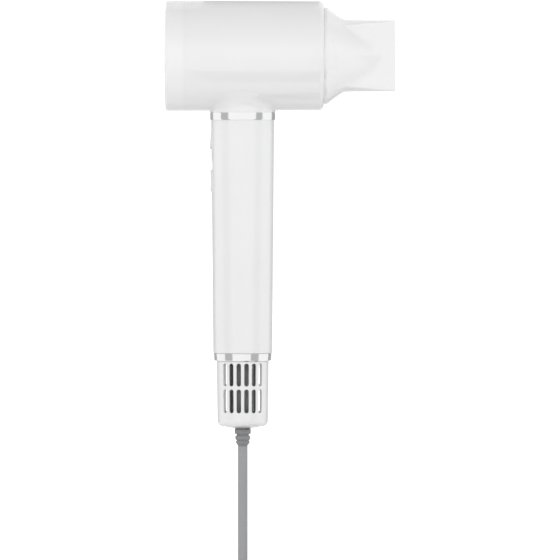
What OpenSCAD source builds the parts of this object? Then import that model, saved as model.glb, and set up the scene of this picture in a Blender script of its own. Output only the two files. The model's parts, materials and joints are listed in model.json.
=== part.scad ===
// High-speed hair dryer with its air inlet and motor in the handle.
// Millimetres. The origin is on the handle's axis, halfway up its sleeve.
// +Z runs up the handle, and +X points the way that the air leaves.

/* [Head] */
// Diameter of the barrel at its rear
barrel_d = 73.6; // [68:0.2:80]
// How much thinner the barrel is at its front
barrel_taper = 0.8; // [0:0.1:1.2]
// Wall of the barrel
barrel_wall = 2.4; // [2:0.1:2.8]
// Front rim of the barrel, ahead of the handle's axis
barrel_front = 54; // [50:0.5:60]
// Radius of the barrel's front rim
rim_r = 3.2; // [1.5:0.1:3.6]
// Seam of the rear cover, behind the handle's axis
seam_back = 39; // [36:0.5:44]
// Length of the rear cover's side
cover_side = 12.4; // [11:0.2:16]
// Bulge of the rear cover's end
cover_dome = 1.1; // [0.6:0.1:2]
// Outer radius of the cover's rounded edge
cover_edge = 1.6; // [1:0.1:2.4]
// Least distance between the barrel and the upper ring
neck_gap = 0.4; // [0.3:0.1:3]
// Radius of the blend between the neck and the barrel
neck_blend = 6; // [4:0.5:9]

/* [Handle] */
// Length of the sleeve between the two rings
sleeve_h = 155; // [146:1:170]
// Diameter of the sleeve at its bottom
sleeve_low_d = 39.5; // [36:0.1:44]
// How much wider the sleeve is at its top
sleeve_flare = 2.9; // [2.4:0.1:4]
// Wall of the sleeve at its bottom
sleeve_wall = 2.1; // [1.8:0.1:2.2]
// Height of each bright ring
ring_h = 5.3; // [4:0.1:7]
// How far the upper ring stands proud of the sleeve
ring_proud = 0.7; // [0.4:0.1:1.2]
// How far the lower ring lies inside the sleeve's skin
ring_inset = 0.3; // [0:0.1:0.6]
// Wall of the handle's frame
frame_wall = 1.4; // [1.2:0.1:1.5]

/* [Filter cage] */
// Step from the lower ring in to the cage
cage_step = 2; // [1.5:0.1:2.6]
// How much thinner the cage is at its bottom
cage_taper = 1.1; // [0.4:0.1:1.6]
// Height of the cage below the lower ring
cage_h = 45; // [43:0.5:50]
// Wall of the cage
cage_wall = 2.45; // [2:0.05:3]
// Width of one air slot
slot_w = 3; // [2.4:0.1:3.4]
// Height of the upper row of air slots
slot_upper_h = 15.2; // [13:0.2:16]
// Plain height of the cage below the air slots
slot_foot = 9.1; // [7:0.1:12]
// Bar between the two rows of air slots
slot_bar = 2; // [1.6:0.1:3]
// Angle between neighbouring air slots
slot_pitch = 17.2; // [15:0.2:18]
// Air slots in one row of each side
slot_count = 6; // [4:1:6]

/* [Nozzle] */
// Step from the barrel's rim in to the nozzle's base
nozzle_step = 4; // [3.4:0.1:5]
// Distance from the barrel's rim to the outlet
nozzle_len = 47.4; // [44:0.2:54]
// Height of the outlet's outside
outlet_h = 47.7; // [44:0.1:50]
// Thickness of the outlet's outside
outlet_t = 10.4; // [9.6:0.1:13]
// Wall of the nozzle
nozzle_wall = 1.8; // [1.4:0.1:2.2]
// Fall of the nozzle's cone for each millimetre of its length
cone_slope = 0.8; // [0.7:0.01:0.9]
// Slope of each flat side of the nozzle's fan
fan_slope = 0.24; // [0.1:0.01:0.3]

/* [Controls] */
// Height of the push button
button_h = 13; // [11:0.2:14]
// Width of the push button
button_w = 9; // [7:0.2:10]
// Distance from the sleeve's top down to the middle of the push button
button_drop = 13; // [11:0.5:16]
// How far the lower end of the push button stands proud
button_proud = 1.3; // [1.1:0.1:1.8]
// Travel of the push button
button_travel = 1; // [0.6:0.1:1.2]
// Length of the sliding knob
knob_h = 14.6; // [14:0.2:16]
// Width of the sliding knob
knob_w = 9; // [7:0.2:10]
// Distance from the sleeve's top down to the sliding knob at its lowest place
knob_drop = 40.5; // [38:0.5:44]
// How far the ends of the sliding knob stand proud
knob_proud = 0.9; // [0.7:0.1:1.4]
// Travel of the sliding knob
knob_travel = 6; // [4:0.5:7]

/* [Fan and motor] */
// Air gap round the impeller
fan_gap = 0.4; // [0.3:0.1:0.8]
// Number of impeller blades
fan_blades = 11; // [7:2:13]
// Height of the impeller
fan_h = 10; // [8:0.5:12]
// Turn of each blade from its foot to its top
fan_twist = 42; // [20:1:50]
// Number of fixed vanes above the impeller
vane_count = 13; // [9:2:15]
// Radius of the motor's shaft
shaft_r = 1.5; // [1.2:0.1:2]

/* [Cord] */
// Diameter of the cord
cord_d = 6.5; // [6:0.1:6.8]
// Distance between neighbouring turns of the stored cord
coil_pitch = 7; // [7:0.1:7.4]
// Turns in each of the two layers of the stored cord
coil_turns = 3.5; // [3.5:1:3.5]
// Outer radius of the stored cord's turns, at the middle of the cord
coil_outer = 50; // [46:1:60]
// Width of the plug
plug_w = 35.5; // [34:0.5:37]
// Length of the plug's body
plug_len = 34; // [30:1:38]
// Length of the plug's ribbed relief
plug_relief = 24; // [20:1:28]
// Distance of the plug pins from each other
pin_pitch = 19; // [19:0.1:19.2]
// Diameter of each plug pin
pin_d = 4.8; // [4:0.1:4.8]
// Length of each plug pin
pin_len = 19; // [18:0.5:20]

/* [Hidden] */
$fn = 64;
// Running gap between a shaft or spigot and its bore
run_gap = 0.05;
// Gap between pieces that move past each other
slide_gap = 0.4;
// Depth by which a cut runs past a face
cut = 1;

// Running gap between pieces that turn against each other on a flat face
turn_gap = 0.15;

barrel_r = barrel_d / 2;
barrel_front_r = barrel_r - barrel_taper / 2;
barrel_in_r = barrel_front_r - barrel_wall;
cover_back = seam_back + cover_side;
seam_lip = 4;
seam_w = 0.3;
seam_depth = 0.6;

sleeve_top_d = sleeve_low_d + sleeve_flare;
sleeve_top = sleeve_h / 2;
sleeve_low = -sleeve_h / 2;
neck_z = sleeve_top + ring_h;
base_z = sleeve_low - ring_h;
head_z = neck_z + neck_gap + barrel_r;
upper_ring_r = sleeve_top_d / 2 + ring_proud;
lower_ring_r = sleeve_low_d / 2 - ring_inset;
neck_r = upper_ring_r + 0.1;
neck_wall = 3.5;
neck_bore_r = neck_r - neck_wall;
neck_lip = 7;
sleeve_bore_r = sleeve_low_d / 2 - sleeve_wall;
frame_r = sleeve_bore_r - 0.25;
passage_r = frame_r - frame_wall;
function sleeve_r(z) =
    (sleeve_low_d + (sleeve_top_d - sleeve_low_d) * (z - sleeve_low) / sleeve_h) / 2;

// Air outlet, from the barrel's rim back to the heater
mouth_r = barrel_front_r - 5.5;
ring_back = barrel_front - 11;
ring_t = 3.4;
collar_back = ring_back + ring_t + slide_gap;
collar_r = mouth_r - slide_gap;
collar_wall = 4.1;
collar_bore_r = collar_r - collar_wall;
spigot_r = collar_bore_r - run_gap;
spigot_wall = 1.8;
outlet_r = collar_bore_r - 2.4;
duct_r = mouth_r - 1.4;
duct_wall = 1.2;
duct_gap = 1.5;
duct_back = neck_bore_r + duct_gap;
grille_t = 2;
magnet_count = 6;
magnet_r = 1.5;
magnet_t = 2;
magnet_place_r = (collar_r + collar_bore_r) / 2;
heater_back = duct_back + 1;
heater_front = ring_back - 1.5;
heater_r = duct_r - duct_wall - 3.3;
wire_r = 0.5;
wire_turns = 9;

// Nozzle: its cone meets the fan's upper and lower edges through a blend
nozzle_back = barrel_front + turn_gap;
nozzle_front = barrel_front + nozzle_len;
nozzle_base_r = barrel_front_r - nozzle_step;
cone_fall = atan(cone_slope);
cone_start = nozzle_back + 2.1;
fan_edge_r = outlet_h / 2;
fan_blend = 13;
flat_start = cone_start + (nozzle_base_r - fan_edge_r) / cone_slope + fan_blend * tan(cone_fall / 2);

// Handle's inside
frame_low = sleeve_low + 2.5;
board_x = 7 - passage_r;
board_t = 1.6;
board_w = 2 * passage_r - 9;
board_high = sleeve_top - 3.5;
board_len = 60;
board_low = board_high - board_len;
hole_inset = 3;
rail_t = 2.2;
rail_w = 6;
button_z = sleeve_top - button_drop;
button_high = button_z + button_h / 2;
knob_z = sleeve_top - knob_drop;
switch_w = 6;
switch_t = 4;
window_w = 12;
plunger_r = 1.7;
lever_h = 2;
flange_t = 1;
flange_w = button_w + 2;
flange_x = -(sqrt(pow(sleeve_bore_r, 2) - pow(flange_w / 2, 2)) - slide_gap);
track_x = -(sleeve_r(knob_z) - 1);
leg_w = 2.6;
leg_h = 4;
carrier_h = 2 * (knob_travel + leg_h / 2 + 1);
screw_r = 1;
lead_r = 0.8;
lead_slot_w = 4.6;
lead_place_r = frame_r - lead_r - 0.1;
lead_low = sleeve_low + 1.6;

// Motor, with its impeller below
motor_r = passage_r - 1.5;
motor_wall = 1.2;
motor_low = sleeve_low + 9.5;
motor_h = 44;
motor_high = motor_low + motor_h;
fan_r = motor_r - motor_wall - fan_gap;
fan_low = motor_low + 3;
can_r = motor_r - 6.5;
can_wall = 1;
can_low = fan_low + fan_h + 4;
can_high = motor_high - 2;
bearing_r = shaft_r + 2.5;
bearing_h = 3;
stator_depth = 3;
stator_r = can_r - stator_depth;
rotor_r = stator_r - 1;
stator_low = can_low + bearing_h + 4;
stator_high = can_high - bearing_h - 4;
stator_arms = 6;
stator_arm_w = 1.6;

// Inlet
spigot_top = base_z + 4;
cage_top = base_z - 0.3;
cage_low = base_z - cage_h;
cage_r = lower_ring_r - cage_step;
cage_low_r = cage_r - cage_taper / 2;
cage_bore_r = cage_r - cage_wall;
cage_floor = 2.4;
cage_hole_r = 6;
cage_spigot_r = lower_ring_r - 3.2;
slot_start = base_z - 2.9;
slot_lower_h = slot_start - slot_upper_h - slot_bar - cage_low - slot_foot;
mesh_r = cage_bore_r - 4.5;
mesh_t = 0.4;
relief_r = 5.2;
column_bore_r = 4.6;
column_r = column_bore_r + 1.6;
column_low = cage_low + 6;
outside_x = -(sleeve_top_d / 2 + 8);
relief_stem = 10;
relief_top = column_low + relief_stem;
relief_reach = 11;
relief_low = cage_low - relief_reach;

// Cord: it hangs from the relief, bends, and lies wound below
free_drop = 112.8;
tie_t = 1;
tie_gap = 0.15;
cord_r = cord_d / 2;
floor_z = relief_low - free_drop - cord_r - tie_gap - tie_t;

// A shape whose axis is Z, laid along the head's axis
module along_head() {
    translate([0, 0, head_z]) rotate([0, 90, 0]) children();
}

// A revolved outline of [radius, place along the axis] points
module turned(points) {
    rotate_extrude() polygon(points);
}

module tube(r_out, r_in, low, high) {
    turned([[r_in, low], [r_out, low], [r_out, high], [r_in, high]]);
}

module around(count, radius, start = 0) {
    for (i = [0 : count - 1])
        rotate([0, 0, start + i * 360 / count]) translate([radius, 0, 0]) children();
}

function arc(centre, r, from, to, steps) = [
    for (i = [0 : steps])
        let (a = from + (to - from) * i / steps)
        [centre[0] + r * cos(a), centre[1] + r * sin(a)]
];

// Neck that flares into the barrel: its blend touches the barrel's round side
module neck(r, blend) {
    centre_r = r + blend;
    centre_z = head_z - sqrt(pow(barrel_r + blend, 2) - centre_r * centre_r);
    lean = acos((head_z - centre_z) / (barrel_r + blend));
    points = concat(
        [[0, neck_z], [r, neck_z]],
        arc([centre_r, centre_z], blend, 180, 90 + lean, 8),
        [[0, head_z - barrel_r + 12]]
    );
    turned(points);
}

module head_shell() {
    rear_in_r = barrel_r - barrel_wall;
    color("#f2f2f2") difference() {
        union() {
            along_head() turned(concat(
                [[0, -seam_back], [barrel_r, -seam_back]],
                arc([barrel_front_r - rim_r, barrel_front - rim_r], rim_r, 0, 90, 6),
                [[0, barrel_front]]
            ));
            neck(neck_r, neck_blend);
        }
        along_head() {
            turned([
                [0, -seam_back - cut], [rear_in_r, -seam_back - cut],
                [barrel_in_r, ring_back + ring_t], [mouth_r, ring_back + ring_t],
                [mouth_r, barrel_front + cut], [0, barrel_front + cut]
            ]);
        }
        translate([0, 0, neck_z - cut]) cylinder(r = neck_bore_r, h = head_z - neck_z);
    }
}

// Dome that ends in a rounded edge, with a lip that seats in the barrel
module rear_cover() {
    lip_r = barrel_r - barrel_wall;
    flat_r = barrel_r - cover_edge;
    dome_r = (flat_r * flat_r + cover_dome * cover_dome) / (2 * cover_dome);
    dome_half = asin(flat_r / dome_r);
    color("#f7f7f7") along_head() difference() {
        union() {
            turned(concat(
                [[0, -seam_back], [barrel_r - seam_depth, -seam_back],
                 [barrel_r - seam_depth, -seam_back - seam_w], [barrel_r, -seam_back - seam_w]],
                arc([flat_r, cover_edge - cover_back], cover_edge, 0, -90, 6),
                arc([0, dome_r - cover_back - cover_dome], dome_r, dome_half - 90, -90, 6)
            ));
            tube(lip_r - 0.05, lip_r - 1.6, -seam_back - cut, -seam_back + seam_lip);
        }
        translate([0, 0, 2.2 - cover_back]) cylinder(r = lip_r - 1.6, h = cover_side + seam_lip);
    }
}

module front_ring() {
    color("#d8d8d8") along_head() difference() {
        tube(barrel_in_r, outlet_r, ring_back, ring_back + ring_t);
        translate([0, 0, ring_back + ring_t - magnet_t])
            around(magnet_count, magnet_place_r) cylinder(r = magnet_r, h = magnet_t + cut);
    }
}

module magnets(low) {
    color("#9a9da1") along_head() translate([0, 0, low])
        around(magnet_count, magnet_place_r) cylinder(r = magnet_r, h = magnet_t);
}

module dock_magnets() {
    magnets(ring_back + ring_t - magnet_t);
}

// Rings held by spokes, seated on the front ring's bore
module outlet_grille() {
    ring_count = 4;
    ring_step = outlet_r / (ring_count + 0.5);
    color("#2c2d30") along_head() translate([0, 0, ring_back]) {
        difference() {
            cylinder(r = outlet_r, h = grille_t);
            for (i = [0 : ring_count - 1])
                translate([0, 0, -cut]) difference() {
                    cylinder(r = (i + 1.5) * ring_step - 1.1, h = grille_t + 2 * cut);
                    translate([0, 0, -cut]) cylinder(r = (i + 0.5) * ring_step, h = grille_t + 4 * cut);
                    for (a = [0 : 30 : 150])
                        rotate([0, 0, a]) translate([-outlet_r, -0.6, -cut])
                            cube([2 * outlet_r, 1.2, grille_t + 4 * cut]);
                }
        }
    }
}

module air_duct() {
    color("#b9a888") along_head() {
        tube(duct_r, duct_r - duct_wall, duct_back, ring_back);
        tube(barrel_in_r, duct_r - 0.01, duct_back, duct_back + 1.4);
    }
}

// Crossed boards whose rear tabs reach the duct
module heater_frame() {
    board = 0.8;
    tab_r = duct_r - duct_wall;
    tab_h = 1.5;
    color("#c8b07c") along_head()
        for (a = [0, 90]) rotate([0, 0, a]) {
            translate([-heater_r, -board / 2, heater_back])
                cube([2 * heater_r, board, heater_front - heater_back]);
            translate([-tab_r, -board / 2, heater_back]) cube([2 * tab_r, board, tab_h]);
        }
}

// A closed tube swept through points; "up" is a direction that no part of it runs along
function unit(v) = v / norm(v);
function heading(p, i) = unit(
    i == 0 ? p[1] - p[0] : i == len(p) - 1 ? p[i] - p[i - 1] : unit(p[i + 1] - p[i]) + unit(p[i] - p[i - 1])
);
function sweep_ring(p, i, r, sides, up) =
    let (t = heading(p, i), u = unit(cross(up, t)), v = cross(t, u))
    [for (k = [0 : sides - 1]) let (a = (k + 0.5) * 360 / sides) p[i] + r * (cos(a) * u + sin(a) * v)];
function sweep_points(p, r, sides, up) = [
    for (i = [0 : len(p) - 1]) each sweep_ring(p, i, r, sides, up)
];

module sweep(p, r, sides, up) {
    n = len(p);
    faces = concat(
        [for (i = [0 : n - 2], k = [0 : sides - 1])
            [i * sides + k, i * sides + (k + 1) % sides, (i + 1) * sides + (k + 1) % sides]],
        [for (i = [0 : n - 2], k = [0 : sides - 1])
            [i * sides + k, (i + 1) * sides + (k + 1) % sides, (i + 1) * sides + k]],
        [for (k = [1 : sides - 2]) [0, k + 1, k]],
        [for (k = [1 : sides - 2]) [(n - 1) * sides, (n - 1) * sides + k, (n - 1) * sides + k + 1]]
    );
    polyhedron(points = sweep_points(p, r, sides, up), faces = [for (f = faces) [f[2], f[1], f[0]]]);
}

module heater_wire() {
    steps = 16;
    margin = 2.5;
    winding_r = heater_r + wire_r + 0.1;
    span = heater_front - heater_back - 2 * margin;
    count = wire_turns * steps;
    points = [for (i = [0 : count])
        [winding_r * cos(360 * i / steps), winding_r * sin(360 * i / steps),
         heater_back + margin + span * i / count]];
    color("#b3472a") along_head() sweep(points, wire_r, 6, [0, 0, 1]);
}

module thermal_cutout() {
    can = 0.18 * heater_r;
    color("#8d8f92") translate([heater_back + 2 * can, 0.4, head_z + 0.4 * heater_r]) rotate([-90, 0, 0]) {
        cylinder(r = can, h = can / 2);
        cylinder(r = 0.65 * can, h = can);
    }
}

module power_board() {
    disc_r = barrel_r - barrel_wall - 0.8;
    part = disc_r / 3;
    color("#2f6b4a") along_head() translate([0, 0, seam_lip - seam_back]) {
        cylinder(r = disc_r, h = board_t);
        translate([1.25 * part, part, 0]) cylinder(r = part / 2, h = part);
        translate([-2 * part, -part, 0]) cube([1.2 * part, 0.8 * part, 0.8 * part]);
        translate([-1.4 * part, part / 2, 0]) cube([0.7 * part, part, part / 2]);
        translate([part / 3, -1.8 * part, 0]) cube([0.9 * part, 0.7 * part, 0.6 * part]);
    }
}

// Seated on the duct's outside, with its needle in a pocket behind the front ring
module ion_emitter() {
    long = 9;
    width = 10;
    needle = 3;
    color("#3a3d42") along_head() {
        intersection() {
            tube(barrel_in_r - 0.4, duct_r, ring_back - long, ring_back - needle + 1);
            translate([-barrel_r, -width / 2, 0]) cube([barrel_r, width, ring_back]);
        }
        translate([-(duct_r + barrel_in_r) / 2, 0, ring_back - needle]) cylinder(r = 0.5, h = needle);
    }
}

// Outline of a rounded cut or button, on the handle's rear side
module rear_pad(w, h, r, x_from, x_to) {
    translate([x_from, 0, 0]) rotate([90, 0, 90]) linear_extrude(x_to - x_from) {
        square([w - 2 * r, h], center = true);
        square([w, h - 2 * r], center = true);
        for (y = [-1, 1], z = [-1, 1]) translate([y * (w / 2 - r), z * (h / 2 - r)]) circle(r = r);
    }
}

module handle_sleeve() {
    slot_h = leg_h + knob_travel + 2 * slide_gap;
    track_h = knob_h + knob_travel + 2 * slide_gap;
    color("#f2f2f2") difference() {
        turned([[sleeve_bore_r, sleeve_low], [sleeve_low_d / 2, sleeve_low],
                [sleeve_top_d / 2, sleeve_top], [sleeve_bore_r, sleeve_top]]);
        translate([0, 0, button_z])
            rear_pad(button_w + 2 * slide_gap, button_h + 2 * slide_gap, 2.4, outside_x, -sleeve_bore_r + 3);
        translate([0, 0, knob_z + knob_travel / 2]) {
            rear_pad(knob_w + 2 * slide_gap, track_h, 2.4, outside_x, track_x);
            rear_pad(leg_w + 2 * slide_gap, slot_h, 0.6, outside_x, -sleeve_bore_r + 3);
        }
    }
}

module upper_ring() {
    r = upper_ring_r;
    edge = 0.4;
    color("#d9dadc") turned([
        [neck_bore_r, sleeve_top], [r - edge, sleeve_top], [r, sleeve_top + edge],
        [r, neck_z - edge], [r - edge, neck_z], [neck_bore_r, neck_z]
    ]);
}

module lower_ring() {
    r = lower_ring_r;
    bore_r = cage_spigot_r + slide_gap;
    edge = 0.4;
    color("#d9dadc") turned([
        [bore_r, base_z], [r - 2 * edge, base_z], [r - edge, base_z + edge],
        [r, sleeve_low - edge], [r - edge, sleeve_low], [bore_r, sleeve_low]
    ]);
}

module handle_frame() {
    window_low = knob_z - carrier_h / 2 - 1;
    window_high = button_high + 2;
    color("#33363a") difference() {
        union() {
            tube(frame_r, passage_r, frame_low, neck_z + neck_lip);
            tube(neck_bore_r, frame_r - 0.01, sleeve_top, neck_z + neck_lip);
            intersection() {
                cylinder(r = frame_r, h = board_high);
                for (side = [-1, 1])
                    translate([board_x - rail_t, side * (board_w / 2 + 2) - rail_w / 2, board_low - 2])
                        cube([board_t + 2 * rail_t, rail_w, board_len + 2]);
            }
        }
        translate([-frame_r - cut, -window_w / 2, window_low])
            cube([frame_r + cut + board_x - rail_t, window_w, window_high - window_low]);
        translate([board_x, -board_w / 2, board_low]) cube([board_t, board_w, board_high]);
        translate([0, -lead_slot_w / 2, frame_low - cut])
            cube([neck_bore_r + cut, lead_slot_w, 2 * head_z]);
    }
}

module control_board() {
    chip = board_w / 2;
    color("#2f6b4a") difference() {
        union() {
            translate([board_x, -board_w / 2, board_low]) cube([board_t, board_w, board_len]);
            translate([board_x + board_t, -0.6 * chip, board_low + chip / 2]) cube([chip / 5, chip, chip]);
            translate([board_x + board_t, -chip / 6, board_low + 2 * chip]) cube([chip / 7, 0.7 * chip, 0.7 * chip]);
        }
        board_holes() cylinder(r = screw_r, h = 3 * board_t, center = true);
    }
}

module board_holes() {
    for (z = [board_low + hole_inset, board_high - hole_inset], y = [-1, 1])
        translate([board_x + board_t / 2, y * (board_w / 2 - hole_inset), z]) rotate([0, 90, 0]) children();
}

// Small screws that hold the board's connectors
module board_screws() {
    color("#a7a9ac") board_holes() {
        translate([0, 0, -board_t / 2]) cylinder(r = screw_r, h = board_t);
        translate([0, 0, board_t / 2]) cylinder(r = 1.8, h = 1.2);
    }
}

module push_switch() {
    color("#1f2022") difference() {
        translate([board_x - switch_t, -switch_w / 2, button_z - switch_w / 2])
            cube([switch_t, switch_w, switch_w]);
        translate([board_x - switch_t - cut, 0, button_z]) rotate([0, 90, 0])
            cylinder(r = plunger_r + run_gap, h = switch_t - 0.8 + cut);
    }
}

module switch_plunger() {
    color("#d04a3a") translate([flange_x + flange_t, 0, button_z]) rotate([0, 90, 0])
        cylinder(r = plunger_r, h = board_x - 0.8 - button_travel - 0.4 - flange_x - flange_t);
}

module push_button() {
    top_r = sleeve_r(button_high);
    lean = atan((button_proud - 0.12) / button_h);
    color("#ededed") {
        intersection() {
            translate([0, 0, button_z]) rear_pad(button_w, button_h, 2, outside_x, flange_x);
            translate([-top_r, 0, button_high]) rotate([0, lean, 0]) translate([top_r, 0, -2 * button_h])
                cylinder(r = top_r, h = 4 * button_h);
        }
        translate([0, 0, button_z]) rear_pad(flange_w, button_h + 2, 2, flange_x, flange_x + flange_t);
    }
}

module slide_switch() {
    body_h = knob_travel + lever_h + 3;
    color("#1f2022") translate([board_x - switch_t, 0, knob_z + knob_travel / 2]) difference() {
        translate([0, -switch_w / 2, -body_h / 2]) cube([switch_t, switch_w, body_h]);
        translate([-cut, -lever_h / 2 - slide_gap, -(knob_travel + lever_h) / 2 - slide_gap])
            cube([switch_t - 1 + cut, lever_h + 2 * slide_gap, knob_travel + lever_h + 2 * slide_gap]);
    }
}

// Plate that covers the slot from inside, with the lever that works the switch
module slide_carrier() {
    color("#d04a3a") translate([0, 0, knob_z]) {
        rear_pad(flange_w, carrier_h, 1.5, flange_x, flange_x + flange_t);
        translate([flange_x + flange_t - 0.01, -lever_h / 2, -lever_h / 2])
            cube([board_x - 1.4 - flange_x - flange_t, lever_h, lever_h]);
    }
}

module slide_knob() {
    crown_r = sleeve_r(knob_z) + knob_proud;
    scoop_r = 70;
    color("#ededed") translate([0, 0, knob_z]) {
        difference() {
            intersection() {
                rear_pad(knob_w, knob_h, 2, outside_x, track_x - 0.35);
                cylinder(r = crown_r, h = 2 * knob_h, center = true);
            }
            translate([-crown_r + 0.25 - scoop_r, 0, 0]) rotate([90, 0, 0])
                cylinder(r = scoop_r, h = 2 * knob_w, center = true, $fn = 180);
        }
        rear_pad(leg_w, leg_h, 0.4, track_x - 0.36, flange_x);
    }
}

// Supply leads, in the frame's slot
module inner_leads() {
    high = neck_z + neck_lip + 4;
    start_x = 3;
    color("#b23b34") for (side = [-1, 1]) translate([0, side * (lead_r + 0.3), 0]) {
        translate([lead_place_r, 0, lead_low]) cylinder(r = lead_r, h = high - lead_low);
        translate([lead_place_r, 0, lead_low]) sphere(r = lead_r);
        translate([start_x, 0, lead_low]) rotate([0, 90, 0]) cylinder(r = lead_r, h = lead_place_r - start_x);
        translate([lead_place_r, 0, high]) sphere(r = lead_r);
    }
}

// Rubber sleeve that carries the motor in the handle's frame
module motor_mount() {
    low = motor_low + 4;
    high = motor_high - 4;
    groove_count = 5;
    groove_h = 3;
    step = (high - low) / groove_count;
    color("#4a4c50") difference() {
        tube(passage_r, motor_r, low, high);
        for (i = [0 : groove_count - 1])
            translate([0, 0, low + (i + 0.5) * step - groove_h / 2])
                tube(passage_r + cut, passage_r - 0.7, 0, groove_h);
        translate([passage_r - 0.8, -lead_slot_w / 2, low - cut])
            cube([lead_slot_w, lead_slot_w, high - low + 2 * cut]);
    }
}

module motor_housing() {
    plate_h = bearing_h + 1;
    pocket = plate_h - 1;
    vane_h = 12;
    vane_t = 0.8;
    color("#8f9397") {
        difference() {
            union() {
                tube(motor_r, motor_r - motor_wall, motor_low, motor_high);
                tube(can_r, can_r - can_wall, can_low, can_high);
                translate([0, 0, can_low]) cylinder(r = can_r, h = plate_h);
                translate([0, 0, can_high - plate_h]) cylinder(r = can_r, h = plate_h);
                intersection() {
                    tube(motor_r - 0.2, can_r - 0.2, can_low, can_low + vane_h);
                    around(vane_count, 0) translate([can_r - 1, 0, can_low + vane_h / 2]) rotate([28, 0, 0])
                        translate([0, -vane_t / 2, -vane_h]) cube([motor_r, vane_t, 2 * vane_h]);
                }
            }
            translate([0, 0, can_low - cut]) cylinder(r = shaft_r + 0.6, h = plate_h);
            translate([0, 0, can_low + 1]) cylinder(r = bearing_r, h = plate_h);
            translate([0, 0, can_high - plate_h - cut]) cylinder(r = bearing_r, h = pocket + cut);
        }
    }
}

module motor_stator() {
    ring = 1.1;
    outer = can_r - can_wall;
    color("#6f7276") {
        tube(outer, outer - ring, stator_low, stator_high);
        intersection() {
            tube(outer - ring + 0.01, stator_r, stator_low, stator_high);
            around(stator_arms, 0) translate([stator_r - 1, -stator_arm_w / 2, stator_low])
                cube([can_r, stator_arm_w, stator_high - stator_low]);
        }
    }
}

module motor_windings() {
    over = 1.5;
    thick = 0.5;
    width = 0.65;
    place = (stator_arm_w + width) / 2 + run_gap;
    color("#b06a35") around(stator_arms, 0) for (side = [-1, 1])
        translate([stator_r + 0.1, side * place - width / 2, stator_low - over])
            cube([thick, width, stator_high - stator_low + 2 * over]);
}

module bearings() {
    color("#b8babd") for (z = [can_low + 1, can_high - 1 - bearing_h])
        tube(bearing_r, shaft_r + run_gap, z, z + bearing_h);
}

module rotor_shaft() {
    color("#c9cbce") translate([0, 0, fan_low - 1])
        cylinder(r = shaft_r, h = can_high - 1.4 - fan_low + 1);
}

module rotor_magnet() {
    color("#7d8084") tube(rotor_r, shaft_r, stator_low, stator_high);
}

// One blade: sections that turn as they climb, each thinner toward its tip
module fan_blade(foot_r) {
    steps = 5;
    root_t = 1;
    tip_t = 0.6;
    points = [
        for (i = [0 : steps], side = [[foot_r, -root_t], [fan_r, -tip_t], [fan_r, tip_t], [foot_r, root_t]])
            let (a = fan_twist * i / steps)
            [side[0] * cos(a) - side[1] / 2 * sin(a), side[0] * sin(a) + side[1] / 2 * cos(a), fan_h * i / steps]
    ];
    polyhedron(points = points, faces = concat(
        [[0, 1, 2], [0, 2, 3], [4 * steps + 2, 4 * steps + 1, 4 * steps], [4 * steps + 3, 4 * steps + 2, 4 * steps]],
        [for (i = [0 : steps - 1], k = [0 : 3]) [4 * i + 4 + (k + 1) % 4, 4 * i + (k + 1) % 4, 4 * i + k]],
        [for (i = [0 : steps - 1], k = [0 : 3]) [4 * i + 4 + k, 4 * i + 4 + (k + 1) % 4, 4 * i + k]]
    ));
}

// Hub that widens upward, with twisted blades
module impeller() {
    foot_r = 4.6;
    head_r = can_r - 0.2;
    color("#7f8ea3") translate([0, 0, fan_low]) {
        turned([[shaft_r, 0], [foot_r, 0], [foot_r + 0.8, fan_h * 0.35],
                [head_r, fan_h + 2], [shaft_r, fan_h + 2]]);
        translate([0, 0, 0.3]) around(fan_blades, 0) fan_blade(foot_r - 0.8);
    }
}

// Spider at the foot of the handle, open at its middle for the column
module inlet_frame() {
    rim_in = passage_r - 1.5;
    arm_w = 2;
    socket_r = column_r + 1.6;
    color("#33363a") difference() {
        union() {
            tube(sleeve_bore_r, rim_in, sleeve_low, frame_low);
            tube(socket_r, column_bore_r, sleeve_low, frame_low);
            for (a = [60, 180, 300]) rotate([0, 0, a])
                translate([socket_r - 0.3, -arm_w / 2, sleeve_low])
                    cube([rim_in - socket_r + 1, arm_w, frame_low - sleeve_low]);
        }
        translate([column_bore_r - cut, -lead_slot_w / 2, lead_low - lead_r - 0.1])
            cube([frame_r, lead_slot_w, sleeve_h]);
    }
}

// Column below the spider: it leads the cord and holds the strain relief
module cord_column() {
    rib = 0.3;
    rib_pitch = 4;
    waist = 0.5;
    color("#8e9092") difference() {
        tube(column_r, column_bore_r, column_low, sleeve_low);
        for (z = [column_low + rib_pitch : rib_pitch : sleeve_low - rib_pitch])
            tube(column_r + cut, column_r - rib, z, z + waist);
    }
}

module cage_slot(height) {
    w = slot_w;
    rotate([90, 0, 0]) translate([0, 0, cage_bore_r - 1.5]) linear_extrude(cage_r - cage_bore_r + 3) {
        translate([-w / 2, w / 2]) square([w, height - w]);
        translate([0, w / 2]) circle(d = w);
        translate([0, height - w / 2]) circle(d = w);
    }
}

// Perforated cup: slots on the front and back, and none on its two sides
module filter_cage() {
    edge = 3;
    low_slot = slot_start - slot_upper_h - slot_bar - slot_lower_h;
    color("#f0f0f0") difference() {
        union() {
            turned(concat(
                [[cage_hole_r, cage_low]],
                arc([cage_low_r - edge, cage_low + edge], edge, -90, 0, 6),
                [[cage_r, cage_top], [cage_hole_r, cage_top]]
            ));
            translate([0, 0, cage_top - cut]) cylinder(r = cage_spigot_r, h = spigot_top - cage_top + cut);
        }
        translate([0, 0, cage_low + cage_floor]) cylinder(r = cage_bore_r, h = cage_h + 2 * ring_h);
        translate([0, 0, cage_low - cut]) cylinder(r = cage_hole_r, h = cage_h);
        for (side = [0, 180], i = [0 : slot_count - 1])
            rotate([0, 0, side + (i - (slot_count - 1) / 2) * slot_pitch]) {
                translate([0, 0, slot_start - slot_upper_h]) cage_slot(slot_upper_h);
                translate([0, 0, low_slot]) cage_slot(slot_lower_h);
            }
    }
}

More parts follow.
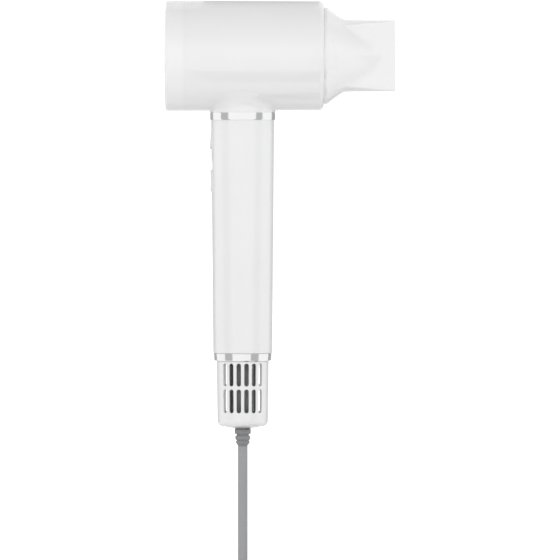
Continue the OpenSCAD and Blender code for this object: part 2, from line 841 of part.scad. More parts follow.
// Fine mesh round the column, with a flange that closes the gap to the cage at its top
module filter_mesh() {
    flange = 1.2;
    bottom = cage_low + cage_floor;
    color("#6b6d70") {
        tube(mesh_r, mesh_r - mesh_t, bottom, spigot_top);
        tube(cage_bore_r, mesh_r - mesh_t, spigot_top - flange, spigot_top);
        tube(mesh_r + flange, mesh_r - mesh_t, bottom, bottom + flange);
    }
}

// Stem inside the column, then three ribs that shrink toward the cord
module strain_relief() {
    rib = 0.5;
    root_r = 4.1;
    function ribbed(low, high, r) = [
        [root_r, low - 0.01], [r - rib, low], [r, low + rib], [r, high - rib], [r - rib, high], [root_r, high + 0.01]
    ];
    shoulder = cage_low - 0.1;
    color("#3b3d40") turned(concat(
        [[0, relief_low], [3.7, relief_low], [root_r, relief_low + 0.4]],
        ribbed(shoulder - 9.9, shoulder - 8.2, 4.7),
        ribbed(shoulder - 7.6, shoulder - 4.8, 5),
        ribbed(shoulder - 3.7, shoulder - 0.1, 5.4),
        [[relief_r, shoulder + 0.2], [relief_r, column_low], [column_bore_r, column_low], [column_bore_r, relief_top], [0, relief_top]]
    ));
}

// Outside of the nozzle, or its inside with an inset: a cone that runs into a flat fan
module nozzle_form(inset, past = 0) {
    function fan_half(x) = outlet_t / 2 + fan_slope * (nozzle_front - x) - inset;
    base_r = nozzle_base_r - inset / cos(cone_fall);
    tip = outlet_t / 2 - inset;
    tip_x = cone_start + (base_r - tip) / cone_slope;
    edge_r = fan_edge_r - inset;
    blend = fan_blend + inset;
    blend_start = flat_start - blend * sin(cone_fall);
    front = nozzle_front + past;
    along_head() {
        turned([[0, nozzle_back], [base_r, nozzle_back], [base_r, cone_start], [tip, tip_x], [0, tip_x]]);
        intersection() {
            turned(concat(
                [[0, blend_start - 2]],
                arc([edge_r + blend, flat_start], blend, 180 + cone_fall, 180, 6),
                [[edge_r, front], [0, front]]
            ));
            rotate([90, 0, 90]) linear_extrude(3 * outlet_h, center = true) polygon([
                [-fan_half(blend_start - 3), blend_start - 3], [fan_half(blend_start - 3), blend_start - 3],
                [fan_half(front), front], [-fan_half(front), front]
            ]);
        }
    }
}

module nozzle() {
    bead = 0.5;
    base_t = 1.6;
    color("#f4f4f4") {
        difference() {
            nozzle_form(0);
            difference() {
                nozzle_form(nozzle_wall, cut);
                along_head() translate([0, 0, nozzle_back - cut]) cylinder(r = barrel_r, h = base_t + cut);
            }
            along_head() translate([0, 0, nozzle_back - cut])
                cylinder(r = spigot_r - spigot_wall, h = base_t + 2 * cut);
        }
        along_head() {
            tube(spigot_r, spigot_r - spigot_wall, collar_back + slide_gap, nozzle_back + 0.01);
            tube(spigot_r + bead, spigot_r - 0.01, collar_back + 1.6, collar_back + 2.6);
        }
    }
}

module nozzle_collar() {
    color("#2c2d30") along_head() difference() {
        tube(collar_r, collar_bore_r, collar_back, barrel_front);
        tube(collar_bore_r + 0.95, collar_bore_r - cut, collar_back + 1.2, collar_back + 3);
        translate([0, 0, collar_back - cut])
            around(magnet_count, magnet_place_r) cylinder(r = magnet_r, h = magnet_t + cut);
    }
}

module nozzle_magnets() {
    magnets(collar_back);
}

// Hand-set route of the free cord: each point's drop below the strain relief comes last
free_route = [
    [0, 0, 0], [0, 0, 11.2], [0, 0, 26.2], [0, 0, 41.2], [0, 0, 56.2], [0, 0, 71.2], [0, 0, 84.8],
    [0.5, -0.8, 92], [2.1, -3.1, 98.8], [4.7, -6.7, 104.6], [8, -11.5, 109], [11.8, -17, 111.8], [16, -23, free_drop]
];
cord_points = [for (p = free_route) [p[0], p[1], relief_low - p[2]]];
cord_end = cord_points[len(cord_points) - 1];
cord_aim = atan2(cord_end[1], cord_end[0]);

// The stored length: it winds inward on the lower layer, climbs, and winds out on the upper one
total_turns = 2 * coil_turns - 0.3;
coil_steps = 24;
coil_entry = cord_end + cord_d * [cos(cord_aim), sin(cord_aim), 0];
coil_middle = coil_entry + coil_outer * [-sin(cord_aim), cos(cord_aim), 0];
function coil_radius(t) = coil_outer - coil_pitch * min(t, 2 * coil_turns - t);
function coil_climb(t) = coil_pitch * (1 - cos(180 * min(max(2 * (t - coil_turns) + 0.5, 0), 1))) / 2;
function coil_point(t) =
    let (a = cord_aim - 90 + 360 * t, r = coil_radius(t))
    [coil_middle[0] + r * cos(a), coil_middle[1] + r * sin(a), cord_end[2] + coil_climb(t)];
tail_len = 10;
tail_aim = cord_aim + 360 * total_turns;
tail_end = coil_point(total_turns) + tail_len * [cos(tail_aim), sin(tail_aim), 0];
coil_points = concat(
    [cord_end],
    [for (i = [0 : round(total_turns * coil_steps)]) coil_point(i / coil_steps)],
    [tail_end]
);

// Least distance between turns, less the cord itself, and the cord's whole length
function path_length(p) = [for (i = 0, s = 0; i < len(p); s = i + 1 < len(p) ? s + norm(p[i + 1] - p[i]) : s, i = i + 1) s][len(p) - 1];
coil_gap = min([
    for (i = [0 : len(coil_points) - 1], j = [i + coil_steps / 2 : 1 : len(coil_points) - 1])
        norm(coil_points[i] - coil_points[j])
]) - cord_d;
echo(coil_gap = coil_gap, cord_length = path_length(cord_points) + path_length(coil_points));

module cord() {
    color("#a9aaac") sweep(cord_points, cord_r, 10, [1, 0.7, 0]);
}

module cord_coil() {
    color("#a9aaac") sweep(coil_points, cord_r, 6, [0, 0, 1]);
}

module rounded_box_outline(w, h, r) {
    square([w - 2 * r, h], center = true);
    square([w, h - 2 * r], center = true);
    for (x = [-1, 1], y = [-1, 1]) translate([x * (w / 2 - r), y * (h / 2 - r)]) circle(r = r);
}

// Strap round all the turns
module cord_tie() {
    inside_w = coil_pitch * coil_turns + cord_d + 0.8;
    inside_h = coil_pitch + cord_d + 2 * tie_gap;
    width = 12;
    color("#3a3b3e") translate([
        coil_middle[0] + coil_outer - coil_pitch * coil_turns / 2, width / 2, floor_z + tie_t + inside_h / 2
    ]) rotate([90, 0, 0]) linear_extrude(width) difference() {
        rounded_box_outline(inside_w + 2 * tie_t, inside_h + 2 * tie_t, 3.2 + tie_t);
        rounded_box_outline(inside_w, inside_h, 3.2);
    }
}

plug_h = 2 * (tail_end[2] - floor_z);

// A shape that points along the plug, from the end of the cord
module at_plug() {
    translate(tail_end) rotate([0, 0, tail_aim]) rotate([0, 90, 0]) children();
}

module plug_body() {
    rib_step = 4;
    color("#3b3d40") at_plug() {
        difference() {
            cylinder(r1 = 4.4, r2 = 7.2, h = plug_relief + 0.1);
            for (i = [0 : 4]) translate([0, 0, 2 + i * rib_step]) tube(12, 4 + i * 0.4, 0, 1.6);
        }
        intersection() {
            translate([0, 0, plug_relief]) linear_extrude(plug_len)
                rounded_box_outline(plug_h, plug_w, 9);
            turned(concat(
                [[0, plug_relief], [7.2, plug_relief]],
                arc([plug_w / 2 - 10, plug_relief + 12], 11, -60, 0, 6),
                [[plug_w / 2 + 1, plug_relief + 20], [plug_w / 2 + 1, plug_relief + plug_len],
                 [0, plug_relief + plug_len]]
            ));
        }
    }
}

module plug_pins() {
    tip = 1.2;
    color("#c9cbce") at_plug() translate([0, 0, plug_relief + plug_len])
        for (side = [-1, 1]) translate([0, side * pin_pitch / 2, 0]) {
            cylinder(d = pin_d, h = pin_len - tip);
            translate([0, 0, pin_len - tip]) cylinder(d1 = pin_d, d2 = pin_d - 2 * tip, h = tip);
        }
}

head_shell();
rear_cover();
front_ring();
dock_magnets();
outlet_grille();
air_duct();
heater_frame();
heater_wire();
thermal_cutout();
power_board();
ion_emitter();
handle_sleeve();
upper_ring();
lower_ring();
handle_frame();
control_board();
board_screws();
push_switch();
slide_switch();
inner_leads();
motor_mount();
motor_housing();
motor_stator();
motor_windings();
bearings();
impeller();
rotor_shaft();
rotor_magnet();
inlet_frame();
cord_column();
filter_cage();
filter_mesh();
strain_relief();
nozzle();
nozzle_collar();
nozzle_magnets();
push_button();
switch_plunger();
slide_knob();
slide_carrier();
cord();
cord_coil();
cord_tie();
plug_body();
plug_pins();
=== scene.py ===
# %% [markdown]
# # A hair dryer, dressed for its portrait
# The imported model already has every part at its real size: barrel, handle, filter cage, nozzle, fan and cord.
# This notebook gives each of them its finish, rebuilds the few skins whose curves show most, and sets up a
# plain studio. Every length is in metres, in the model's own frame: +Z runs up the handle, the air leaves
# along +X, and the camera looks along +Y.

# %% Load the model as a fixed frame
import json
import math

import bmesh
import bpy
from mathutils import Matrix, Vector

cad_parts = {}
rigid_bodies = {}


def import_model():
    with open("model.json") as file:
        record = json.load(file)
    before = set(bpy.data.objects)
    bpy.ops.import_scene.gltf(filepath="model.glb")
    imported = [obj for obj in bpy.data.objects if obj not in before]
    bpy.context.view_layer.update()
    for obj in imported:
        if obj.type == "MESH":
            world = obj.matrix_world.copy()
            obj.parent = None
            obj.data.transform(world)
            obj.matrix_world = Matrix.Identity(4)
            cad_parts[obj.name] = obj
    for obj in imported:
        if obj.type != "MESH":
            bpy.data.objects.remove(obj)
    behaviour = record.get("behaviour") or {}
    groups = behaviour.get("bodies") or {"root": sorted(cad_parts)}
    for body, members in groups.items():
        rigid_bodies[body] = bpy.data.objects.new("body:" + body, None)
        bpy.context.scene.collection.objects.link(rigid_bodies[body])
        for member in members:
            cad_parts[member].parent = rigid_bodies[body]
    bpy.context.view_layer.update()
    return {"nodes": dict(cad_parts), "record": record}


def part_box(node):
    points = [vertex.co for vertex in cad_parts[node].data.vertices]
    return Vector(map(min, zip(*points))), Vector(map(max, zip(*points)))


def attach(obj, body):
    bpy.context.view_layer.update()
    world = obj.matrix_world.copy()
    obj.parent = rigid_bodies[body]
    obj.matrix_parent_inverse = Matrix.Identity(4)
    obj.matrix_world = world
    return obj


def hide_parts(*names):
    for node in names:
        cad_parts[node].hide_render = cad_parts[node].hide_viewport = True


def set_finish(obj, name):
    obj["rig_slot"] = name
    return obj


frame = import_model()
MM = 0.001


# %% [markdown]
# ## The camera and the cord come first
# The dryer is seen square on from its side, from far enough away that round parts hardly bulge. The camera is
# level with the head, so the rings and the foot below it curve a little. The view is 373 mm wide at the
# handle, and its middle lies a little ahead of the handle and below it: the cord runs out of the lower edge.
# A camera is a block of data and an object that places it, as meshes and lamps are, so one helper serves all.

# %% Camera
def put_in_scene(name, data):
    """An object that shows this camera, mesh or lamp."""
    made = bpy.data.objects.new(name, data)
    bpy.context.collection.objects.link(made)
    return made


VIEW_WIDTH = 372.6 * MM
VIEW_MIDDLE = Vector((24.8 * MM, 0, -29.1 * MM))
CAMERA_AWAY = 6.0
CAMERA_RAISED = 0.12
SENSOR = 36

camera_data = bpy.data.cameras.new("camera")
camera_data.sensor_width = SENSOR
camera_data.lens = SENSOR * CAMERA_AWAY / VIEW_WIDTH
camera_data.clip_end = 40
camera = put_in_scene("camera", camera_data)
camera.location = VIEW_MIDDLE + Vector((0, -CAMERA_AWAY, CAMERA_RAISED))
camera.rotation_euler = (math.radians(90) - math.atan(CAMERA_RAISED / CAMERA_AWAY), 0, 0)
bpy.context.scene.camera = camera
print("lens:", round(camera_data.lens, 1), "mm")

# %% [markdown]
# The cord is one smooth line with a fixed length of 1.7 m. It leaves the strain relief straight down, bends
# with a radius of more than four diameters, and the stored length is wound flat on the surface below: inward
# on the lower layer, up one layer, and outward again on the upper one, to a straight tail that enters the plug.

# %% The cord's route
CORD_D = 6.5 * MM
LOW_LAYER = -251.6
COIL_PITCH = 7.0
COIL_TURNS = 3.5
COIL_OUTER = 50.0
TAIL = 10.0
LAST_TURN_CUT = 0.3
relief_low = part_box("strain_relief")[0][2] / MM
free_route = [(0, 0, z) for z in (relief_low, *range(-150, -211, -15), -223.6)]
free_route += [(0.5, -0.8, -230.8), (2.1, -3.1, -237.6), (4.7, -6.7, -243.4), (8, -11.5, -247.8),
               (11.8, -17, -250.6), (16, -23, LOW_LAYER)]
entry = Vector(free_route[-1])
aim = math.atan2(entry.y, entry.x)
wind_start = entry + CORD_D / MM * Vector((math.cos(aim), math.sin(aim), 0))
coil_middle = wind_start + COIL_OUTER * Vector((-math.sin(aim), math.cos(aim), 0))
total_turns = 2 * COIL_TURNS - LAST_TURN_CUT


def coil_point(turn):
    """A point of the wound cord, after that many turns."""
    angle = aim - math.pi / 2 + 2 * math.pi * turn
    radius = COIL_OUTER - COIL_PITCH * min(turn, 2 * COIL_TURNS - turn)
    climb = COIL_PITCH * (1 - math.cos(math.pi * min(max(2 * (turn - COIL_TURNS) + 0.5, 0), 1))) / 2
    return Vector((coil_middle.x + radius * math.cos(angle),
                   coil_middle.y + radius * math.sin(angle), entry.z + climb))


def smooth_through(points, steps):
    """A Catmull-Rom curve: points on a smooth line that passes through every given one."""
    p = [Vector(q) for q in points]
    p = [2 * p[0] - p[1]] + p + [2 * p[-1] - p[-2]]
    out = []
    for i in range(1, len(p) - 2):
        for k in range(steps):
            t = k / steps
            out.append(0.5 * (2 * p[i] + (p[i + 1] - p[i - 1]) * t
                              + (2 * p[i - 1] - 5 * p[i] + 4 * p[i + 1] - p[i + 2]) * t ** 2
                              + (3 * p[i] - p[i - 1] - 3 * p[i + 1] + p[i + 2]) * t ** 3))
    return out + [p[-2]]


tail_aim = aim + 2 * math.pi * total_turns
tail_end = coil_point(total_turns) + TAIL * Vector((math.cos(tail_aim), math.sin(tail_aim), 0))
RINGS_A_TURN = 48
cord_path = smooth_through(free_route, 3) + [
    coil_point(i / RINGS_A_TURN) for i in range(round(total_turns * RINGS_A_TURN) + 1)
] + [tail_end]
cord_path = [p * MM for p in cord_path]
cord_length = sum((b - a).length for a, b in zip(cord_path, cord_path[1:]))
print("cord:", round(cord_length, 3), "m in", len(cord_path), "points")


# %% [markdown]
# A round cord is a circle carried along its line. Blender's curves can do it, but a tube made ring by ring
# also gets a UV map that runs along the cord, which the jacket's fine surface follows.

# %% A tube along a line
def tube_mesh(name, path, radius, sides):
    """A closed tube along the points of path, with u round it and v along it in metres."""
    mesh = bpy.data.meshes.new(name)
    bm = bmesh.new()
    uv = bm.loops.layers.uv.new("along")
    side = Vector((1, 0, 0))
    rings, travelled = [], [0.0]
    for i, point in enumerate(path):
        before, after = path[max(i - 1, 0)], path[min(i + 1, len(path) - 1)]
        along = (after - before).normalized()
        side = (side - along * side.dot(along)).normalized()
        up = along.cross(side)
        rings.append([
            bm.verts.new(point + radius * (math.cos(a) * side + math.sin(a) * up))
            for a in (2 * math.pi * k / sides for k in range(sides))
        ])
        if i:
            travelled.append(travelled[-1] + (point - path[i - 1]).length)
    for i in range(len(path) - 1):
        for k in range(sides):
            face = bm.faces.new((rings[i][k], rings[i][(k + 1) % sides],
                                 rings[i + 1][(k + 1) % sides], rings[i + 1][k]))
            face.smooth = True
            corners = ((k, i), (k + 1, i), (k + 1, i + 1), (k, i + 1))
            for loop, (u, v) in zip(face.loops, corners):
                loop[uv].uv = (u / sides, travelled[v])
    bm.faces.new(list(reversed(rings[0])))
    bm.faces.new(rings[-1])
    bm.to_mesh(mesh)
    bm.free()
    return put_in_scene(name, mesh)


mains_cord = tube_mesh("mains_cord", cord_path, CORD_D / 2, 20)
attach(mains_cord, "root")
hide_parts("cord", "cord_coil")
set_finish(mains_cord, "cord_grey")
print("cord faces:", len(mains_cord.data.polygons))


# %% [markdown]
# ## A small language for materials
# A finish is a graph of shader nodes, and graphs are hard to read as code. Here one class wraps a socket and
# gives it Python's operators, so that `1 - 0.2 * grain` adds its own Math nodes.

# %% Sockets with operators
class Value:
    """One output socket of a graph."""

    def __init__(self, graph, socket):
        self.graph = graph
        self.socket = socket

    def maths(self, operation, *inputs):
        """A Math node on these inputs, in this order."""
        return self.graph.node("ShaderNodeMath", {"operation": operation}, inputs)

    def __add__(self, other):
        return self.maths("ADD", self, other)

    def __radd__(self, other):
        return self.maths("ADD", other, self)

    def __sub__(self, other):
        return self.maths("SUBTRACT", self, other)

    def __rsub__(self, other):
        return self.maths("SUBTRACT", other, self)

    def __mul__(self, other):
        return self.maths("MULTIPLY", self, other)

    def __rmul__(self, other):
        return self.maths("MULTIPLY", other, self)

    def over(self, edge):
        """1 where the value is above the edge, and 0 elsewhere."""
        return self.maths("GREATER_THAN", self, edge)

    def or_more(self, other):
        """The larger of the two."""
        return self.maths("MAXIMUM", self, other)

    def clamped(self):
        """The value, kept from 0 to 1."""
        return self.graph.node("ShaderNodeClamp", {}, {"Value": self})

    def sine(self):
        return self.maths("SINE", self)


def skills(kind):
    """What objects of this class can do, as text."""
    return ", ".join(name.strip("_") for name, what in vars(kind).items() if callable(what) and name != "__init__")


print("a value can:", skills(Value))


# %% [markdown]
# A second class adds nodes to any tree, whether a material's or the room's. Settings have to come before
# sockets, because some settings change which sockets a node has.

# %% A tree of nodes
class Graph:
    """A node tree that is built in code."""

    def __init__(self, tree):
        self.tree = tree

    def node(self, kind, settings, inputs, output=0):
        """Adds a node. Settings come first, and inputs are a list in order, or a dict by name."""
        made = self.tree.nodes.new(kind)
        for key, value in settings.items():
            if key == "stops":
                fill_ramp(made.color_ramp.elements, value)
            else:
                setattr(made, key, value)
        pairs = inputs.items() if isinstance(inputs, dict) else enumerate(inputs)
        for key, value in pairs:
            self.feed(made.inputs[key], value)
        return Value(self, made.outputs[output])

    def feed(self, socket, value):
        if isinstance(value, Value):
            self.tree.links.new(value.socket, socket)
        elif isinstance(value, tuple) and len(value) == 3 and socket.type == "RGBA":
            socket.default_value = (*value, 1)
        else:
            socket.default_value = value

    def axes(self, vector):
        """The three numbers of a vector."""
        return [self.node("ShaderNodeSeparateXYZ", {}, [vector], axis) for axis in "XYZ"]


def fill_ramp(elements, stops):
    """Gives a colour ramp its stops. A new ramp has two already."""
    while len(elements) < len(stops):
        elements.new(0.5)
    for element, (place, grey) in zip(elements, stops):
        element.position = place
        element.color = (grey, grey, grey, 1)


print("a graph can:", skills(Graph))


# %% [markdown]
# The third class is a tree that ends in a Principled shader. Its noise reads the piece's own coordinates, so a
# pattern stays on its piece when that moves, and each size is a real length.

# %% A finish
class Finish(Graph):
    """A material, built from a Principled shader and whatever feeds it."""

    def __init__(self, name, **sockets):
        self.material = bpy.data.materials.new(name)
        self.material.use_nodes = True
        super().__init__(self.material.node_tree)
        self.shader = self.tree.nodes["Principled BSDF"]
        for label, value in sockets.items():
            self.put(label.replace("_", " "), value)

    def put(self, label, value):
        """Sets or links one socket of the shader."""
        self.feed(self.shader.inputs[label], value)

    def place(self, scale=(1, 1, 1)):
        """The piece's own coordinates in metres, stretched by scale."""
        place = self.node("ShaderNodeTexCoord", {}, {}, "Object")
        return self.node("ShaderNodeMapping", {}, {"Vector": place, "Scale": scale})

    def noise(self, vector, size, detail=2.0, roughness=0.5):
        """Noise whose blotches are about that size, in metres."""
        return self.node("ShaderNodeTexNoise", {},
                         {"Vector": vector, "Scale": 1 / size, "Detail": detail, "Roughness": roughness})

    def between(self, factor, low, high):
        """A colour between two, by a factor."""
        return self.node("ShaderNodeMix", {"data_type": "RGBA"}, {0: factor, 6: low, 7: high}, 2)

    def bump(self, height, depth, strength=1.0):
        """Small relief: height from 0 to 1 stands for that depth in metres."""
        self.put("Normal", self.node("ShaderNodeBump", {},
                                     {"Strength": strength, "Distance": depth, "Height": height}))


def srgb(r, g, b):
    """A colour from 0 to 255, as the shader wants it."""
    return tuple(((c / 255 + 0.055) / 1.055) ** 2.4 if c > 10 else c / 3294.6 for c in (r, g, b))


print("middle grey 128 as the shader sees it:", round(srgb(128, 128, 128)[0], 3))


# %% [markdown]
# ## The filter cage, with a softly domed foot
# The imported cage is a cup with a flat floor. On the real one the floor falls away a little toward its edge, the
# slots start right under the ring, and the moulding is thinner round the middle slots, as its core is oval.
# The cage could be turned anew and its slots cut with a boolean, but all three are slow changes of shape. So
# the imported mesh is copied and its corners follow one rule, and the slots stay as crisp as they are.

# %% Copies that follow a rule
def reshaped_copy(name, node, body, finish_name, moved):
    """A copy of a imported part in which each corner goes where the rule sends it."""
    mesh = frame["nodes"][node].data.copy()
    mesh.name = name
    for corner in mesh.vertices:
        corner.co = moved(corner.co)
    piece = put_in_scene(name, mesh)
    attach(piece, body)
    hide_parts(node)
    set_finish(piece, finish_name)
    return piece


def ramp(value, start, end):
    """0 at start and 1 at end, straight between them and flat outside."""
    return min(max((value - start) / (end - start), 0), 1)


print("half way up a ramp:", ramp(5, 0, 10))

# %% The cage
CAGE_LIP, SLOT_TOP, SLOT_FOOT = 83.1 * MM, 85.7 * MM, 118.7 * MM
FLOOR_INSIDE, FLOOR_OUTSIDE = 124 * MM, 124.8 * MM
SLOTS_RAISED = 1.4 * MM
EDGE_RAISED = 2 * MM
EDGE_FROM, EDGE_TO = 6 * MM, 17 * MM
BORE_FROM, BORE_TO = 13 * MM, 15.8 * MM
WALL_THINNED = 1.1 * MM
MIDDLE_SLOTS, OUTER_SLOTS = 32, 37


def cage_rule(p):
    """Slots and the floor's edge go up, and the wall round the middle slots gets thinner from inside."""
    r, depth = math.hypot(p.x, p.y), -p.z
    lift = SLOTS_RAISED * ramp(depth, CAGE_LIP, SLOT_TOP) * (1 - ramp(depth, SLOT_FOOT, FLOOR_INSIDE))
    lift += ramp(depth, SLOT_FOOT + 1 * MM, FLOOR_OUTSIDE) * EDGE_RAISED * ramp(r, EDGE_FROM, EDGE_TO)
    from_front = math.degrees(math.atan2(abs(p.x), abs(p.y)))
    spread = 1.0
    if BORE_FROM < r < BORE_TO and SLOT_TOP - 1.2 * MM < depth < SLOT_FOOT + 1.2 * MM:
        spread = 1 + WALL_THINNED * (1 - ramp(from_front, MIDDLE_SLOTS, OUTER_SLOTS)) / r
    return Vector((p.x * spread, p.y * spread, p.z + lift))


filter_skin = reshaped_copy("filter_skin", "filter_cage", "filter", "white_cage", cage_rule)
print("cage corners:", len(filter_skin.data.vertices))


# %% [markdown]
# ## The nozzle, from a cone into a fan
# The nozzle starts as a round cone and ends as a tall flat slot, and on the real moulding nothing marks where
# one becomes the other. Bridging a round edge to a slot would make straight lines between them and a ridge at
# each end. So it is lofted from many rings: at each distance along the air's way a cone and a flat slab are
# compared, and the larger radius wins. A smooth maximum does this instead of a plain one, which turns the line
# where they meet into a soft hollow. The same rule, moved in by the wall, makes the inside.

# %% The nozzle's two forms
nozzle_low, nozzle_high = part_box("nozzle")
HEAD_Z = (nozzle_low.z + nozzle_high.z) / 2
NOZZLE_BACK = 54.03
NOZZLE_FRONT = nozzle_high.x / MM
BASE_R = (nozzle_high.z - nozzle_low.z) / 2 / MM
CONE_START = NOZZLE_BACK + 2.1
CONE_SLOPE = 0.8
FAN_EDGE = 23.85
OUTLET_HALF = 5.2
FAN_SLOPE = 0.24
WALL = 1.8
CONE_INSET = 1.28
FAN_CORNER = 0.5
HOLLOW_ABOVE, HOLLOW_BESIDE = 1.7, 3.2
HOLLOW_GROWS = 7
HOLLOW_FADES = (86, 97)
QUADRANT = 26


def softer(a, b, k, sign):
    """The larger of two lengths (sign 1) or the smaller (sign -1), with a blend about k wide."""
    return (a + b + sign * math.sqrt((a - b) ** 2 + k * k)) / 2


def fan_half(x, inset):
    """Half the fan's thickness, which grows away from the mouth."""
    return OUTLET_HALF + FAN_SLOPE * (NOZZLE_FRONT - x) - inset


def nozzle_radius(x, angle, inset):
    """Distance of the skin from the head's axis. The angle runs from straight up, and the inset makes the
    inside. It counts for more on the cone, whose wall leans."""
    cone = BASE_R - inset * CONE_INSET - CONE_SLOPE * max(x - CONE_START, 0)
    side = abs(math.sin(angle))
    slab = softer(FAN_EDGE - inset, fan_half(x, inset) / max(side, 0.02), FAN_CORNER, -1)
    grown = ramp(x, CONE_START, CONE_START + HOLLOW_GROWS) * (1 - ramp(x, *HOLLOW_FADES))
    return softer(cone, slab, (HOLLOW_ABOVE + HOLLOW_BESIDE * side * side) * grown, 1)


def section_angles(x):
    """Angles of one quadrant, close together where the edge of the fan runs."""
    edge = math.asin(min(fan_half(x, 0) / FAN_EDGE, 0.95))
    near = math.radians(2.5)
    stops = [(0, 0), (6, edge - near), (14, edge + near), (QUADRANT, math.pi / 2)]
    angles = []
    for (i0, a0), (i1, a1) in zip(stops, stops[1:]):
        angles += [a0 + (a1 - a0) * (i - i0) / (i1 - i0) for i in range(i0, i1)]
    return angles


def nozzle_ring(x, radius_at):
    """Points of one section: y and z round the head's axis."""
    quarter = section_angles(x)
    turn = quarter + [math.pi - a for a in [math.pi / 2] + quarter[:0:-1]]
    turn += [math.pi + a for a in quarter] + [2 * math.pi - a for a in [math.pi / 2] + quarter[:0:-1]]
    return [Vector((x * MM, radius_at(a) * math.sin(a) * MM, HEAD_Z + radius_at(a) * math.cos(a) * MM))
            for a in turn]


print("nozzle from", NOZZLE_BACK, "to", round(NOZZLE_FRONT, 2), "mm, radius at its back", round(BASE_R, 2))


# %% [markdown]
# The rings run from the nozzle's back along the outside to the mouth, round the lip, and inside to the spigot
# that plugs into the barrel. They lie close together where the shape turns quickly.

# %% The nozzle's rings
FINE_STEP, OUTER_STEP, INNER_STEP = 0.3, 0.55, -1.2
LIP = 0.25
SPIGOT = [(55.75, 30.0), (55.75, 24.55), (47.2, 24.55), (47.2, 26.2), (47.35, 26.35), (48.3, 26.35), (48.5, 26.85),
          (49.3, 26.85), (49.5, 26.35), (NOZZLE_BACK, 26.35)]


def skin_ring(x, inset):
    """A section of the cone and the fan."""
    return nozzle_ring(x, lambda a: nozzle_radius(x, a, inset))


def round_ring(x, radius):
    """A round section with the same number of points."""
    return nozzle_ring(x, lambda a: radius)


def stations(first, last, step):
    """Places from first on, up to the last one before the other end."""
    return [first + step * i for i in range(math.ceil((last - first) / step))]


rings = [round_ring(NOZZLE_BACK, BASE_R - 0.04), round_ring(NOZZLE_BACK + 0.05, BASE_R)]
rings += [skin_ring(CONE_START - 0.6 + FINE_STEP * i, 0) for i in range(4)]
rings += [skin_ring(x, 0) for x in stations(CONE_START + 0.6, NOZZLE_FRONT - 0.7, OUTER_STEP)]
rings += [skin_ring(NOZZLE_FRONT - LIP, 0), skin_ring(NOZZLE_FRONT - 0.07, 0.07), skin_ring(NOZZLE_FRONT, LIP),
          skin_ring(NOZZLE_FRONT, WALL - 0.15), skin_ring(NOZZLE_FRONT - 0.15, WALL)]
rings += [skin_ring(x, WALL) for x in stations(NOZZLE_FRONT - 0.3, NOZZLE_BACK + 2, INNER_STEP)]
rings += [round_ring(x, r) for x, r in SPIGOT]
print("nozzle:", len(rings), "rings of", len(rings[0]), "points")


# %% Loft the nozzle
def loft(name, rings, crease=32):
    """One closed skin through rings with equally many points; the last joins the first."""
    mesh = bpy.data.meshes.new(name)
    count, around = len(rings), len(rings[0])
    corners = [tuple(p) for ring in rings for p in ring]
    faces = [(i * around + k, ((i + 1) % count) * around + k,
              ((i + 1) % count) * around + (k + 1) % around, i * around + (k + 1) % around)
             for i in range(count) for k in range(around)]
    mesh.from_pydata(corners, [], faces)
    mesh.validate()
    mesh.shade_smooth()
    mesh.set_sharp_from_angle(angle=math.radians(crease))
    return put_in_scene(name, mesh)


def turn_outwards(piece):
    """Makes every face of a closed skin point outwards."""
    bm = bmesh.new()
    bm.from_mesh(piece.data)
    bmesh.ops.recalc_face_normals(bm, faces=bm.faces)
    bm.to_mesh(piece.data)
    bm.free()


nozzle_skin = loft("nozzle_skin", rings)
turn_outwards(nozzle_skin)
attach(nozzle_skin, "nozzle")
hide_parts("nozzle")
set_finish(nozzle_skin, "white_nozzle")
print("nozzle faces:", len(nozzle_skin.data.polygons))


# %% [markdown]
# ## The neck runs into the barrel
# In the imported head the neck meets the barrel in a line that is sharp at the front. On the real moulding the
# corner is filled: the skin leaves the neck straight up and turns until it lies along the barrel. A bevel on
# that line would need the same width all round, and at the sides there is hardly any neck for it. So the fillet
# is a closed strip of its own, lofted round the handle, which shrinks towards the sides.

# %% Fillet round the neck
NECK_R = 22.0
BARREL_R, BARREL_TAPER, SEAM_X, RIM_X = 36.8, 0.4, -39.0, 54.0
NECK_FOOT = 82.9
FILLET_SHARE, FILLET_HIGHEST = 0.62, 4.6
FILLET_OUT = (2.0, 6.2)
ROOM = (0.3, 7.5)
BEND = 0.62
BURIED, SUNK = 0.7, 0.9


def barrel_underside(r, turn):
    """Height of the barrel's lower skin over a point at that distance and direction from the handle's axis."""
    x, y = r * math.cos(turn), r * math.sin(turn)
    radius = BARREL_R - BARREL_TAPER * (x - SEAM_X) / (RIM_X - SEAM_X)
    return HEAD_Z / MM - math.sqrt(radius * radius - y * y)


def neck_profile(turn, steps=10):
    """Closed outline of the strip in one direction, as radius and height."""
    room = barrel_underside(NECK_R, turn) - NECK_FOOT
    up = min(FILLET_SHARE * room, FILLET_HIGHEST)
    out = FILLET_OUT[0] + (FILLET_OUT[1] - FILLET_OUT[0]) * ramp(room, *ROOM)
    top = barrel_underside(NECK_R + out, turn)
    slope = (top - barrel_underside(NECK_R + out - 0.1, turn)) / 0.1
    start = Vector((NECK_R - 0.02, barrel_underside(NECK_R, turn) - up))
    end = Vector((NECK_R + out, top + 0.02))
    lift = start + BEND * Vector((0, up))
    lead = end - BEND * out * Vector((1, slope))
    outline = []
    for i in range(steps + 1):
        t = i / steps
        outline.append((1 - t) ** 3 * start + 3 * t * (1 - t) ** 2 * lift + 3 * t * t * (1 - t) * lead + t ** 3 * end)
    outline += [end + Vector((0, BURIED)), Vector((NECK_R - SUNK, barrel_underside(NECK_R, turn) + BURIED)),
                start - Vector((SUNK, 0))]
    return [Vector((p.x * math.cos(turn) * MM, p.x * math.sin(turn) * MM, p.y * MM)) for p in outline]


